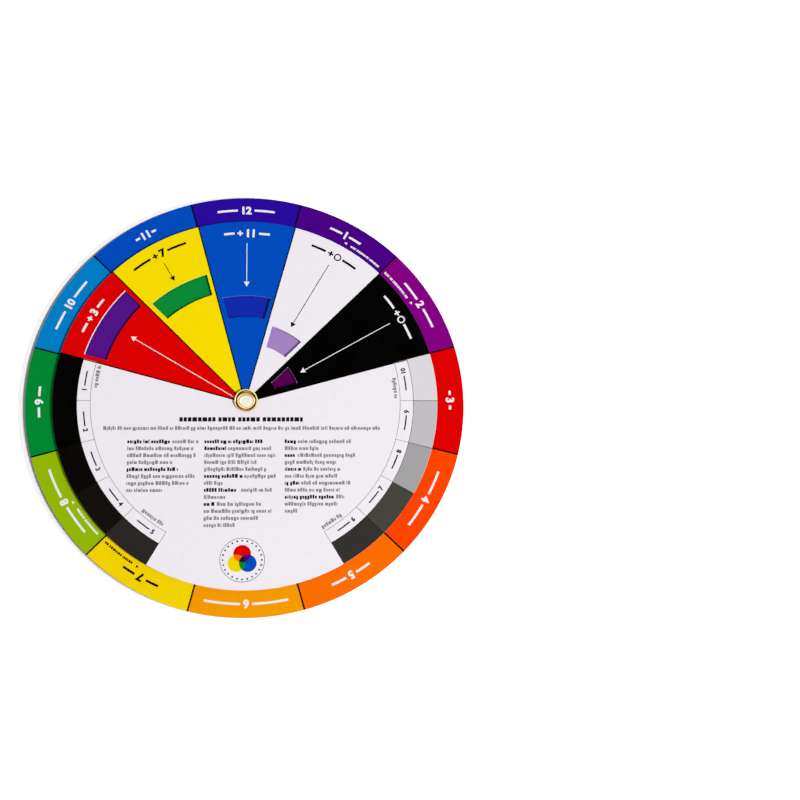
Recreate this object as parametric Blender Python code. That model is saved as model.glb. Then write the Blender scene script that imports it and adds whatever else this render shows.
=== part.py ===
"""Two-sided colour mixing wheel: three round printed cards that turn on one brass eyelet.

Units are metres and +Z is up. The wheel lies on its back, so the side with the hue ring faces up.
The origin is on the hub axis, in the plane that the wheel lies on. +Y points to the top of the
printed face. Angles are counter-clockwise about +Z, from +X.
"""

from math import asin, cos, pi, radians, sin, tau

import bmesh
import bpy

# The middle card, printed on both sides
DISC_RADIUS = 0.1175
DISC_THICKNESS = 0.0006

# The front dial, which leaves a ring of the middle card bare
HUE_RING_WIDTH = 0.0144
FRONT_DIAL_THICKNESS = 0.0006
FRONT_DIAL_TURN = radians(-0.3)
FRONT_RIM_LAND = 0.0127
FRONT_HUB_LAND = 0.0127
FRONT_WINDOW_SPACING = 0.0031
FRONT_WINDOW_SIDE = 0.0025
FRONT_CORNER_RADIUS = 0.0003
FRONT_WINDOWS = 5
FIRST_WEDGE_ANGLE = radians(150)

# The back dial, whose outline is cut a little off its hub hole and so shows past the middle card
BACK_DIAL_INSET = 0.0003
BACK_DIAL_OFFSET = 0.0020
BACK_DIAL_THICKNESS = 0.0006
BACK_RIM_LAND = 0.0025
BACK_WINDOW_SIDE = 0.0027
BAND_WINDOW_DEPTH = 0.0080
BAND_WINDOW_SPACING = 0.0054
BAND_CORNER_RADIUS = 0.0006
TONE_WINDOW_DEPTH = 0.0380
TONE_CORNER_RADIUS = 0.0015
BACK_WINDOW_ANGLES = [radians(a) for a in (90, 150, 210, 240, 270, 300, 330, 30)]

# Shared by the cards
SECTOR = tau / 12
CARD_GAP = 0.0003
CARD_SIDES = 180
WINDOW_ARC_STEP = radians(2)
CORNER_SEGMENTS = 3
CUTTER_OVERRUN = 0.002

# The eyelet, from its clinched end below to its flange above
CLINCH_HEIGHT = 0.0010
CLINCH_RADIUS = 0.0053
CLINCH_FOOT_WIDTH = 0.0006
CLINCH_FLARE = 0.0005
CLINCH_PETALS = 8
PETAL_NOTCH = 0.0004
BARREL_RADIUS = 0.0039
BARREL_WALL = 0.0004
HUB_CLEARANCE = 0.0003
FLANGE_RADIUS = 0.0064
FLANGE_HEIGHT = 0.0010
FLANGE_LIP = 0.0002
FLANGE_CREST_RADIUS = 0.0048
EYELET_STEPS = 64
ROLL_STEPS = 6

# Worked out from the sizes above
FRONT_DIAL_RADIUS = DISC_RADIUS - HUE_RING_WIDTH
BACK_DIAL_RADIUS = DISC_RADIUS - BACK_DIAL_INSET
HUB_HOLE_RADIUS = BARREL_RADIUS + HUB_CLEARANCE
BACK_DIAL_BOTTOM = CLINCH_HEIGHT + CARD_GAP
DISC_BOTTOM = BACK_DIAL_BOTTOM + BACK_DIAL_THICKNESS + CARD_GAP
FRONT_DIAL_BOTTOM = DISC_BOTTOM + DISC_THICKNESS + CARD_GAP
FLANGE_BOTTOM = FRONT_DIAL_BOTTOM + FRONT_DIAL_THICKNESS + CARD_GAP


def clear_scene():
    for old in list(bpy.data.objects):
        bpy.data.objects.remove(old, do_unlink=True)


def material(name, colour, roughness, metallic=0.0):
    made = bpy.data.materials.new(name)
    made.use_nodes = True
    shader = made.node_tree.nodes["Principled BSDF"]
    shader.inputs["Base Color"].default_value = (*colour, 1.0)
    shader.inputs["Roughness"].default_value = roughness
    shader.inputs["Metallic"].default_value = metallic
    return made


def add_object(name, bm, height=0.0):
    """Makes an object of a bmesh, with its origin on the hub axis at this height."""
    bmesh.ops.recalc_face_normals(bm, faces=bm.faces)
    mesh = bpy.data.meshes.new(name)
    bm.to_mesh(mesh)
    bm.free()
    made = bpy.data.objects.new(name, mesh)
    made.location = (0, 0, height)
    bpy.context.scene.collection.objects.link(made)
    return made


def extrude_outline(bm, points, bottom, top):
    """Adds an upright prism on an outline, and returns its upright edges in the outline's order."""
    low = [bm.verts.new((x, y, bottom)) for x, y in points]
    high = [bm.verts.new((x, y, top)) for x, y in points]
    bm.faces.new(low[::-1])
    bm.faces.new(high)
    for i, corner in enumerate(low):
        j = (i + 1) % len(low)
        bm.faces.new((corner, low[j], high[j], high[i]))
    return [bm.edges.get((a, b)) for a, b in zip(low, high)]


def circle(radius, sides, centre_x=0.0):
    turns = [tau * i / sides for i in range(sides)]
    return [(centre_x + radius * cos(a), radius * sin(a)) for a in turns]


def arc(radius, start, end):
    steps = max(2, round(abs(end - start) / WINDOW_ARC_STEP))
    angles = [start + (end - start) * i / steps for i in range(steps + 1)]
    return [(radius * cos(a), radius * sin(a)) for a in angles]


def window_outline(angle, outer, inner, side):
    """An arched window. Its two sides run parallel to its sector's borders, at this distance."""
    outer_half = SECTOR / 2 - asin(side / outer)
    inner_half = SECTOR / 2 - asin(side / inner)
    outer_arc = arc(outer, angle - outer_half, angle + outer_half)
    inner_arc = arc(inner, angle + inner_half, angle - inner_half)
    corners = (0, len(outer_arc) - 1, len(outer_arc), len(outer_arc) + len(inner_arc) - 1)
    return outer_arc + inner_arc, corners


def add_window(bm, angle, outer, depth, side, corner_radius, thickness):
    points, corners = window_outline(angle, outer, outer - depth, side)
    cut = bmesh.new()
    uprights = extrude_outline(cut, points, -CUTTER_OVERRUN, thickness + CUTTER_OVERRUN)
    bmesh.ops.bevel(
        cut,
        geom=[uprights[i] for i in corners],
        offset=corner_radius,
        segments=CORNER_SEGMENTS,
        profile=0.5,
        affect="EDGES",
    )
    mesh = bpy.data.meshes.new("window")
    cut.to_mesh(mesh)
    cut.free()
    bm.from_mesh(mesh)
    bpy.data.meshes.remove(mesh)


def add_card(name, radius, thickness, height, centre_x=0.0):
    bm = bmesh.new()
    extrude_outline(bm, circle(radius, CARD_SIDES, centre_x), 0.0, thickness)
    return add_object(name, bm, height)


def punch(card, cutter):
    """Cuts a card with a hidden cutter that moves with it."""
    cutter.parent = card
    cutter.location = (0, 0, 0)
    cutter.hide_render = True
    cutter.display_type = "WIRE"
    cut = card.modifiers.new("punched", "BOOLEAN")
    cut.operation = "DIFFERENCE"
    cut.solver = "EXACT"
    cut.object = cutter


def hub_hole(bm, thickness):
    hole = circle(HUB_HOLE_RADIUS, EYELET_STEPS)
    extrude_outline(bm, hole, -CUTTER_OVERRUN, thickness + CUTTER_OVERRUN)


def make_colour_disc():
    disc = add_card("colour_disc", DISC_RADIUS, DISC_THICKNESS, DISC_BOTTOM)
    cuts = bmesh.new()
    hub_hole(cuts, DISC_THICKNESS)
    punch(disc, add_object("colour_disc_cuts", cuts))
    disc.data.materials.append(material("hue_ring_print", (0.78, 0.16, 0.05), 0.4))


def make_front_dial():
    """One window in each wedge, each a step nearer the hub than the last."""
    dial = add_card("front_dial", FRONT_DIAL_RADIUS, FRONT_DIAL_THICKNESS, FRONT_DIAL_BOTTOM)
    dial.rotation_euler = (0, 0, FRONT_DIAL_TURN)
    first_outer = FRONT_DIAL_RADIUS - FRONT_RIM_LAND
    last_inner = HUB_HOLE_RADIUS + FRONT_HUB_LAND
    pitch = (first_outer - last_inner + FRONT_WINDOW_SPACING) / FRONT_WINDOWS
    cuts = bmesh.new()
    hub_hole(cuts, FRONT_DIAL_THICKNESS)
    for k in range(FRONT_WINDOWS):
        add_window(
            cuts,
            angle=FIRST_WEDGE_ANGLE - k * SECTOR,
            outer=first_outer - k * pitch,
            depth=pitch - FRONT_WINDOW_SPACING,
            side=FRONT_WINDOW_SIDE,
            corner_radius=FRONT_CORNER_RADIUS,
            thickness=FRONT_DIAL_THICKNESS,
        )
    punch(dial, add_object("front_dial_cuts", cuts))
    dial.data.materials.append(material("front_dial_print", (0.86, 0.84, 0.87), 0.4))


def make_back_dial():
    """Each sector in use has a narrow window for the pure hue and a deep one for its tones."""
    dial = add_card(
        "back_dial",
        BACK_DIAL_RADIUS,
        BACK_DIAL_THICKNESS,
        BACK_DIAL_BOTTOM,
        centre_x=-BACK_DIAL_OFFSET,
    )
    band_outer = BACK_DIAL_RADIUS - BACK_DIAL_OFFSET - BACK_RIM_LAND
    tone_outer = band_outer - BAND_WINDOW_DEPTH - BAND_WINDOW_SPACING
    rows = (
        (band_outer, BAND_WINDOW_DEPTH, BAND_CORNER_RADIUS),
        (tone_outer, TONE_WINDOW_DEPTH, TONE_CORNER_RADIUS),
    )
    cuts = bmesh.new()
    hub_hole(cuts, BACK_DIAL_THICKNESS)
    for angle in BACK_WINDOW_ANGLES:
        for outer, depth, corner_radius in rows:
            add_window(
                cuts,
                angle=angle,
                outer=outer,
                depth=depth,
                side=BACK_WINDOW_SIDE,
                corner_radius=corner_radius,
                thickness=BACK_DIAL_THICKNESS,
            )
    punch(dial, add_object("back_dial_cuts", cuts))
    dial.data.materials.append(material("back_dial_print", (0.82, 0.80, 0.83), 0.4))


def quarter(centre, reach, start):
    """Points on a quarter of an ellipse, clockwise from this angle, as (radius, height) pairs."""
    angles = [start - pi / 2 * i / ROLL_STEPS for i in range(ROLL_STEPS + 1)]
    return [(centre[0] + reach[0] * cos(a), centre[1] + reach[1] * sin(a)) for a in angles]


def eyelet_profile():
    """Half a section of the eyelet, clockwise from the bore's lower end: up the bore, over the
    domed flange, down the barrel and round the clinched end to its flat foot."""
    bore = BARREL_RADIUS - BARREL_WALL
    dome_base = FLANGE_BOTTOM + FLANGE_LIP
    dome_rise = FLANGE_HEIGHT - FLANGE_LIP
    foot_outer = bore + CLINCH_FLARE + CLINCH_FOOT_WIDTH
    inner_dome = quarter(
        (FLANGE_CREST_RADIUS, dome_base), (FLANGE_CREST_RADIUS - bore, dome_rise), pi
    )
    outer_dome = quarter(
        (FLANGE_CREST_RADIUS, dome_base), (FLANGE_RADIUS - FLANGE_CREST_RADIUS, dome_rise), pi / 2
    )
    under_flange = [
        (FLANGE_RADIUS, FLANGE_BOTTOM),
        (BARREL_RADIUS, FLANGE_BOTTOM),
        (BARREL_RADIUS, CLINCH_HEIGHT),
    ]
    roll_reach = (CLINCH_RADIUS - foot_outer, CLINCH_HEIGHT / 2)
    upper_roll = quarter((foot_outer, CLINCH_HEIGHT / 2), roll_reach, pi / 2)
    lower_roll = quarter((foot_outer, CLINCH_HEIGHT / 2), roll_reach, 0.0)
    flare = quarter((bore + CLINCH_FLARE, CLINCH_FLARE), (CLINCH_FLARE, CLINCH_FLARE), -pi / 2)
    return inner_dome + outer_dome[1:] + under_flange + upper_roll + lower_roll[1:] + flare


def petal_radius(radius, height, angle):
    """Draws the clinched rim in between its petals, and leaves the foot and the barrel round."""
    foot_outer = BARREL_RADIUS - BARREL_WALL + CLINCH_FLARE + CLINCH_FOOT_WIDTH
    if height > CLINCH_HEIGHT or radius <= foot_outer:
        return radius
    share = (radius - foot_outer) / (CLINCH_RADIUS - foot_outer)
    crease = ((1 + cos(CLINCH_PETALS * angle)) / 2) ** 4
    return radius - PETAL_NOTCH * share * crease


def make_eyelet():
    bm = bmesh.new()
    rings = []
    for i in range(EYELET_STEPS):
        angle = tau * i / EYELET_STEPS
        ring = []
        for radius, height in eyelet_profile():
            r = petal_radius(radius, height, angle)
            ring.append(bm.verts.new((r * cos(angle), r * sin(angle), height)))
        rings.append(ring)
    for ring, after in zip(rings, rings[1:] + rings[:1]):
        for k in range(len(ring)):
            j = (k + 1) % len(ring)
            bm.faces.new((ring[k], after[k], after[j], ring[j]))
    eyelet = add_object("eyelet", bm)
    eyelet.data.shade_smooth()
    eyelet.data.set_sharp_from_angle(angle=radians(40))
    eyelet.data.materials.append(material("brass", (0.75, 0.58, 0.26), 0.25, 1.0))


clear_scene()
make_colour_disc()
make_front_dial()
make_back_dial()
make_eyelet()
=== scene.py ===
"""The looks of a two-sided colour mixing wheel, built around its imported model.

Three laminated cards, printed on the faces that show, turn on one pressed brass eyelet. A card is one
closed mesh: its faces are cut along every printed edge, and each face corner carries its ink. Lengths
are in metres. On a printed sheet, an angle is in degrees, clockwise from the top as its reader sees
it, and a name that ends in share or shares holds shares of the middle card's radius, unless its
comment says otherwise.
"""

from functools import cache
from math import acos, asin, atan2, ceil, cos, degrees, hypot, pi, radians, sin, tau
from random import Random

import bpy
from mathutils import Matrix, Vector
from mathutils.geometry import delaunay_2d_cdt


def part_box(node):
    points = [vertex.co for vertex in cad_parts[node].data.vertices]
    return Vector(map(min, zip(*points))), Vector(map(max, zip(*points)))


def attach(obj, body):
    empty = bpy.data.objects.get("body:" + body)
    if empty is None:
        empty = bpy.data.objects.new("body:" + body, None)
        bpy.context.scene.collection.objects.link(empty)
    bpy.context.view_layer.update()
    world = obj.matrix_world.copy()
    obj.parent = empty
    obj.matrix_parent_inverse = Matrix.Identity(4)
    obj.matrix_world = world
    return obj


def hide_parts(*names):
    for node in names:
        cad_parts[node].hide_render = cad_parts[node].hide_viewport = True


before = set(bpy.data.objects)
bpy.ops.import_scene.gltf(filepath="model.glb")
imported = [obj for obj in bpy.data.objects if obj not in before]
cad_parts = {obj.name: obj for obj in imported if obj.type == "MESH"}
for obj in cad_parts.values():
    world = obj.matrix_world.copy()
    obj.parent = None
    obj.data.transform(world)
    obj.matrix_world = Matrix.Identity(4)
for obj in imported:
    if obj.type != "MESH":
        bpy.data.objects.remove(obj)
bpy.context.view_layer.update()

# Inks, as sRGB codes. The twelve hues run clockwise from the top of the front: from blue-violet over red to
# orange, and from orange-yellow over green to blue.
HUES = (
    "2a0aa0", "4a0087", "860084", "e20000", "ff4600", "ff6f00",
    "f99d00", "f8d800", "98bc06", "008c33", "0082cd", "004ec2",
)
RED, YELLOW, BLUE = 3, 7, 11
TWELFTH = 30.0
CARD_WHITE = "f6f0f7"
BLACK = "000000"
BROWN = "5a3a28"
MID_GREY = "aeb2b0"
DARK_TEXT = "1b191d"
LIGHT_TEXT = "8f8b93"
HAIRLINE_GREY = "77737b"

# The cards' rounded rims, the steps of an arc in degrees, how far ink runs past a cut and the thinnest
# line, and under which distance two points are one and under which area a shape is left out
EDGE_ROUND = 0.00009
ARC_STEP = 2.0
BLEED = 0.002
HAIRLINE = 0.00026
MERGE_DISTANCE = 1e-7
SMALLEST_AREA = 1e-9


def linear(code):
    """The linear colour of an sRGB code."""
    parts = [int(code[i:i + 2], 16) / 255 for i in (0, 2, 4)]
    return tuple(p / 12.92 if p <= 0.04045 else ((p + 0.055) / 1.055) ** 2.4 for p in parts)


def blend(first, second, share):
    """A code between two sRGB codes, at this share of the way to the second."""
    pairs = [(int(first[i:i + 2], 16), int(second[i:i + 2], 16)) for i in (0, 2, 4)]
    return "".join(f"{round(a + (b - a) * share):02x}" for a, b in pairs)


def add_object(name, data):
    added = bpy.data.objects.new(name, data)
    bpy.context.scene.collection.objects.link(added)
    return added


def polar(radius, angle):
    """The place at this radius and clock angle."""
    return (radius * sin(radians(angle)), radius * cos(radians(angle)))


def arc(radius, start, end, centre=(0.0, 0.0)):
    """Points on an arc from one clock angle to another, both ends included."""
    steps = max(1, ceil(abs(end - start) / ARC_STEP))
    turns = [start + (end - start) * i / steps for i in range(steps + 1)]
    return [(centre[0] + x, centre[1] + y) for x, y in (polar(radius, t) for t in turns)]


def on_arc(radius, angle, inward=False):
    """A line of writing on an arc, with its middle at this angle and its letter tops outward or inward:
    a function that places a point this far along it and above it."""
    way = -1 if inward else 1

    def place(x, y):
        return polar(radius + way * y, angle + way * degrees(x / radius))

    return place


def on_line(centre, tilt=0.0):
    """A straight line of writing through this place, tilted clockwise."""
    along = (cos(radians(tilt)), -sin(radians(tilt)))

    def place(x, y):
        return (centre[0] + x * along[0] - y * along[1], centre[1] + x * along[1] + y * along[0])

    return place


# Blender's digits: their cap height as a share of the font size, their added weight as a share of the cap
# height, and the steps of their curves
DIGIT_CAP_SHARE = 0.69
DIGIT_WEIGHT_SHARE = 0.07
DIGIT_CURVE_STEPS = 3


@cache
def digit_shapes(text):
    """Flat shapes of a number in Blender's own font, centred, with a cap height of one."""
    curve = bpy.data.curves.new("digits", "FONT")
    curve.body = text
    curve.align_x = "CENTER"
    curve.resolution_u = DIGIT_CURVE_STEPS
    curve.offset = DIGIT_WEIGHT_SHARE * DIGIT_CAP_SHARE
    holder = bpy.data.objects.new("digits", curve)
    mesh = bpy.data.meshes.new_from_object(holder)
    corners = [(v.co.x / DIGIT_CAP_SHARE, v.co.y / DIGIT_CAP_SHARE) for v in mesh.vertices]
    shapes = [[corners[i] for i in face.vertices] for face in mesh.polygons]
    bpy.data.objects.remove(holder)
    bpy.data.meshes.remove(mesh)
    bpy.data.curves.remove(curve)
    return shapes


# Plain blocks that stand for words: the height of small print, how many blocks are one word, and as shares
# of the height, their sizes and gaps and the least room that one more of them needs
WORD_HEIGHT = 0.0015
WORD_LENGTHS = (2, 3, 4, 4, 5, 6, 7, 8, 9)
LETTER_WIDTH_SHARES = (0.35, 0.62, 0.72, 0.72, 0.8, 1.05)
LETTER_SPANS = ((0, 1), (0, 1), (0, 1), (0, 1), (0, 1.38), (0, 1.38), (-0.35, 1))
LETTER_GAP_SHARE = 0.2
WORD_GAP_SHARE = 0.42
LEAST_ROOM_SHARE = 0.4
BAR_STEP = 0.004

# Where the rule beside a number starts and ends, as shares of the number's cap height
RULE_LOW_SHARE = 0.35
RULE_HIGH_SHARE = 0.66


class Sheet:
    """The print on one face of a card: shapes in the order that they are inked. All of it can lie turned
    clockwise, and what is shaped while a shift is set lies moved by that."""

    def __init__(self, seed, mirrored=False, turn=0.0):
        self.shapes = []
        self.side = -1 if mirrored else 1
        self.turn = radians(turn)
        self.shift = (0.0, 0.0)
        self.random = Random(seed)

    def shape(self, points, ink):
        placed = []
        for right, up in points:
            x = (right + self.shift[0]) * self.side
            up += self.shift[1]
            across = x * cos(self.turn) + up * sin(self.turn)
            along = up * cos(self.turn) - x * sin(self.turn)
            placed.append(Vector((across, along)))
        self.shapes.append((placed, ink))

    def band(self, inner, outer, start, end, ink):
        self.shape(arc(outer, start, end) + arc(inner, end, start), ink)

    def disc(self, centre, radius, ink):
        self.shape(arc(radius, 0, 360 - ARC_STEP * 2, centre), ink)

    def line(self, start, end, width, ink):
        right, up = end[0] - start[0], end[1] - start[1]
        length = hypot(right, up)
        across = (up / length * width / 2, -right / length * width / 2)
        ends = ((start, 1), (start, -1), (end, -1), (end, 1))
        self.shape([(x + way * across[0], y + way * across[1]) for (x, y), way in ends], ink)

    def ray(self, inner, outer, angle, width, ink):
        self.line(polar(inner, angle), polar(outer, angle), width, ink)

    def separators(self, inner, outer, width, turn=0.0):
        """The lines between the twelve hues of a ring that lies turned by this much."""
        for hue in range(12):
            self.ray(inner, outer, (hue + 0.5) * TWELFTH + turn, width, BLACK)

    def rim(self, radius, start, end, width, ink):
        self.band(radius - width / 2, radius + width / 2, start, end, ink)

    def outline(self, corners, width, ink):
        for start, end in zip(corners, corners[1:] + corners[:1]):
            self.line(start, end, width, ink)

    def box(self, place, left, right, low, high, ink):
        """A bar of a line of writing, bent with it where it is long."""
        steps = max(1, ceil((right - left) / BAR_STEP))
        xs = [left + (right - left) * i / steps for i in range(steps + 1)]
        lower = [place(x, low) for x in xs]
        upper = [place(x, high) for x in reversed(xs)]
        self.shape(lower + upper, ink)

    def rule(self, place, left, right, cap, ink):
        """The bar beside a number of this cap height."""
        self.box(place, left, right, cap * RULE_LOW_SHARE, cap * RULE_HIGH_SHARE, ink)

    def number(self, place, text, height, ink, middle=0.0):
        """Writes a number, and returns how far it reaches to each side of its middle."""
        reach = 0.0
        for corners in digit_shapes(text):
            reach = max(reach, max(abs(x) for x, _ in corners) * height)
            self.shape([place(middle + x * height, y * height) for x, y in corners], ink)
        return reach

    def words(self, place, left, right, height, ink, capitals=True):
        """Fills a line with plain blocks that stand for words. Small letters have this height too, and
        some of them a stem above or below."""
        x = left
        while x < right - height * LEAST_ROOM_SHARE:
            for _ in range(self.random.choice(WORD_LENGTHS)):
                width = height * self.random.choice(LETTER_WIDTH_SHARES)
                if x + width > right:
                    break
                low, top = (0, 1) if capitals else self.random.choice(LETTER_SPANS)
                self.box(place, x, x + width, height * low, height * top, ink)
                x += width + height * LETTER_GAP_SHARE
            x += height * WORD_GAP_SHARE

    def words_on_arc(self, radius, start, end, height, ink, inward=False, capitals=True):
        reach = radius * radians(end - start) / 2
        place = on_arc(radius, (start + end) / 2, inward)
        self.words(place, -reach, reach, height, ink, capitals)

    def small_print(self, place, left, split, right, gap):
        """A line of small print, bold up to the split and light from this gap beyond it."""
        if split > left:
            self.words(place, left, split, WORD_HEIGHT, DARK_TEXT, capitals=False)
        if right > split:
            start = split + gap if split > left else left
            self.words(place, start, right, WORD_HEIGHT, LIGHT_TEXT, capitals=False)


def corner_shift(before, here, after):
    """How far a corner moves when both of its edges move one unit to their right."""
    first = Vector((here.y - before.y, before.x - here.x)).normalized()
    second = Vector((after.y - here.y, here.x - after.x)).normalized()
    return (first + second) / (1 + first.dot(second))


def shifted(loop, distance):
    """Moves a loop off the card it bounds, or onto it where the distance is negative."""
    after = loop[1:] + loop[:1]
    return [here + corner_shift(loop[i - 1], here, after[i]) * distance for i, here in enumerate(loop)]


def rims_of(faces):
    """The closed loops that bound these faces, each with its faces on its left."""
    edges = set()
    for face in faces:
        for a, b in zip(face, face[1:] + face[:1]):
            if (b, a) in edges:
                edges.remove((b, a))
            else:
                edges.add((a, b))
    after = dict(edges)
    loops = []
    while after:
        start, here = after.popitem()
        loop = [start]
        while here != start:
            loop.append(here)
            here = after.pop(here)
        loops.append(loop)
    return loops


def cut_loops(node):
    """The outline of a card's solid and then its cut-outs, from the rim inwards, the hub hole last: the
    loops that bound its upward faces."""
    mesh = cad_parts[node].data
    spots = [tuple(round(c / MERGE_DISTANCE) for c in vertex.co[:2]) for vertex in mesh.vertices]
    faces = [[spots[v] for v in face.vertices] for face in mesh.polygons if face.normal.z > 0.5]
    loops = [[Vector(spot) * MERGE_DISTANCE for spot in loop] for loop in rims_of(faces)]
    return sorted(loops, key=lambda loop: -span(loop)[1])


def span(loop):
    """The least and the greatest distance of a loop from the hub."""
    lengths = [spot.length for spot in loop]
    return min(lengths), max(lengths)


def partition(loops, sheets):
    """Cuts the face inside the first loop, less the other loops, along all shapes of these sheets, which
    can be None. Returns its points, its triangles, and for each sheet their topmost inks."""
    points, faces, inks, starts = [], [], [], []

    def add(shape, ink):
        area = sum(a.cross(b) for a, b in zip(shape, shape[1:] + shape[:1])) / 2
        if abs(area) < SMALLEST_AREA:
            return
        faces.append(list(range(len(points), len(points) + len(shape))))
        points.extend(shape if area > 0 else shape[::-1])
        inks.append(ink)

    for loop in loops:
        add(loop, None)
    for sheet in sheets:
        starts.append(len(faces))
        for shape, ink in sheet.shapes if sheet else ():
            add(shape, ink)
    ends = starts[1:] + [len(faces)]
    cut = delaunay_2d_cdt(points, [], faces, 1, MERGE_DISTANCE, True)
    triangles, printed = [], []
    for triangle, covers in zip(cut[2], cut[5]):
        if 0 not in covers or any(0 < c < len(loops) for c in covers):
            continue
        triangles.append(tuple(triangle))
        tops = [max((c for c in covers if a <= c < b), default=None) for a, b in zip(starts, ends)]
        printed.append([CARD_WHITE if top is None else inks[top] for top in tops])
    return cut[0], triangles, list(zip(*printed))


def plain_side(points, loops):
    """Triangles between these loops of point numbers, the outline and then its holes. A hole's loop runs
    the other way round, so it covers all but the hole, and a triangle that all loops cover is card."""
    order = [i for loop in loops for i in loop]
    faces, first = [], 0
    for loop in loops:
        faces.append(list(range(first, first + len(loop))))
        first += len(loop)
    cut = delaunay_2d_cdt([points[i] for i in order], [], faces, 1, MERGE_DISTANCE, True)
    number = [order[spots[0]] for spots in cut[3]]
    inside = [t for t, covers in zip(cut[2], cut[5]) if len(covers) == len(loops)]
    return [tuple(number[i] for i in triangle) for triangle in inside]


def without_loose(points, faces):
    """These points less those in no face, and the faces with their new numbers."""
    used = sorted({i for face in faces for i in face})
    number = {old: new for new, old in enumerate(used)}
    return [points[i] for i in used], [[number[i] for i in face] for face in faces]


def inked_object(name, vertices, faces):
    """An object of these faces. Each is its corners, its ink, and if it is bare card."""
    corners, codes, bare = zip(*faces)
    vertices, corners = without_loose(vertices, corners)
    mesh = bpy.data.meshes.new(name)
    mesh.from_pydata(vertices, [], corners)
    layer = mesh.color_attributes.new("ink", "FLOAT_COLOR", "CORNER")
    values = []
    for face, code in zip(corners, codes):
        values.extend((*linear(code), 1.0) * len(face))
    layer.data.foreach_set("color", values)
    mesh.materials.append(CARD_PRINT)
    mesh.materials.append(CARD_CORE)
    mesh.polygons.foreach_set("material_index", [int(b) for b in bare])
    return add_object(name, mesh)


def make_card(name, node, top=None, bottom=None):
    """One closed card in the place of its solid: two flat faces, printed where they have a sheet up to
    their rounded rims, and a cut edge of bare card in between."""
    low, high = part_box(node)
    loops = [shifted(loop, -EDGE_ROUND) for loop in cut_loops(node)]
    flat, triangles, (top_inks, bottom_inks) = partition(loops, (top, bottom))
    rims = sorted(rims_of(triangles), key=lambda rim: -span([flat[i] for i in rim])[1])
    vertices, faces = [], []

    def ring(spots, height):
        """Adds points at one height, and returns the number of the first."""
        first = len(vertices)
        vertices.extend((*spot, height) for spot in spots)
        return first

    upper = ring(flat, high[2])
    lower = ring(flat, low[2])
    for sheet, inks, first, way in ((top, top_inks, upper, 1), (bottom, bottom_inks, lower, -1)):
        side = zip(triangles, inks) if sheet else ((t, CARD_WHITE) for t in plain_side(flat, rims))
        for triangle, ink in side:
            faces.append(([first + i for i in triangle][::way], ink, False))
    beside = {(t[k - 1], t[k]): number for number, t in enumerate(triangles) for k in range(3)}
    for rim in rims:
        spots = shifted([flat[i] for i in rim], EDGE_ROUND)
        shoulder = ring(spots, high[2] - EDGE_ROUND)
        foot = ring(spots, low[2] + EDGE_ROUND)
        for k, i in enumerate(rim):
            m = (k + 1) % len(rim)
            j = rim[m]
            inner = beside[i, j]
            faces.append(([shoulder + k, shoulder + m, upper + j, upper + i], top_inks[inner], False))
            faces.append(([foot + k, foot + m, shoulder + m, shoulder + k], CARD_WHITE, True))
            faces.append(([lower + i, lower + j, foot + m, foot + k], bottom_inks[inner], False))
    return inked_object(name, vertices, faces)


# The front of the wheel. The front dial's print lies turned by DIAL_TURN degrees.
DISC_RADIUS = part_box("colour_disc")[1][1]
DIAL_CUTS = cut_loops("front_dial")
DIAL_RADIUS = span(DIAL_CUTS[0])[1]
DIAL_TURN = 0.3

# The hue ring. Its labels stand where the hues are named, and reach as far to each side, in degrees.
RING_START_SHARE = 0.855
SEPARATOR_WIDTH = 0.0009
HUE_LABEL_RADIUS_SHARE = 0.9195
HUE_LABEL_CAP = 0.0041
HUE_LABEL_REACHES = (8.25, 5.0, 7.75, 2.75, 8.75, 6.0, 11.5, 5.5, 10.25, 4.5, 8.25, 3.25)
HUE_LABEL_GAP = 0.0015

# The ring's small labels: start and end angle, the angle and way of the pointer beside it, and its ink
SMALL_LABEL_RADIUS_SHARE = 0.8965
SMALL_LABEL_HEIGHT = 0.0012
POINTER_SIZE = 0.0016
RING_NOTES = (
    (33, 44, 31.6, -1, CARD_WHITE),
    (46, 56.5, 58, 1, CARD_WHITE),
    (214, 224, 212.6, -1, BLACK),
    (227, 237, 238.4, 1, CARD_WHITE),
)

# Mixtures under the front dial: how much white, black or lost strength they hold, as shares of the mix.
# Strength is lost with a power of the distance between two hues, of which opposite ones lie six apart, and
# each hue between them makes the mix lean more to the added one.
TINT_SHARE = 0.55
TINT_WHITE = "f8f8ff"
SHADE_SHARE = 0.33
LOST_STRENGTH_SHARE = 0.25
LOST_STRENGTH_POWER = 4
LEAN_SHARE = 0.125
OPPOSITE = 6
MIXTURE_LINE = 0.0004


def mixed(hue, added):
    """The code of two of the twelve hues mixed: halfway between them or, where they are far apart,
    duller and a little nearer to the added one. Opposite hues give brown."""
    gap = (added - hue + OPPOSITE) % 12 - OPPOSITE
    if abs(gap) == OPPOSITE:
        return BROWN
    first = hue + gap // 2
    lean = 0.5 + (abs(gap) - 1) * LEAN_SHARE
    share = gap % 2 * (lean if gap > 0 else 1 - lean)
    middle = blend(HUES[first % 12], HUES[(first + 1) % 12], share)
    return blend(middle, MID_GREY, LOST_STRENGTH_SHARE * (gap / OPPOSITE) ** LOST_STRENGTH_POWER)


def label_hue(sheet, hue, share, angle, extra=0.0):
    """A hue's number between two rules, which can reach a few degrees further."""
    radius = DISC_RADIUS * share
    reach = radius * radians(HUE_LABEL_REACHES[hue] + extra)
    place = on_arc(radius, angle)
    ink = BLACK if hue == YELLOW else CARD_WHITE
    half = sheet.number(place, str(hue or 12), HUE_LABEL_CAP, ink) + HUE_LABEL_GAP
    for left, right in ((-reach, -half), (half, reach)):
        sheet.rule(place, left, right, HUE_LABEL_CAP, ink)


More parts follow.
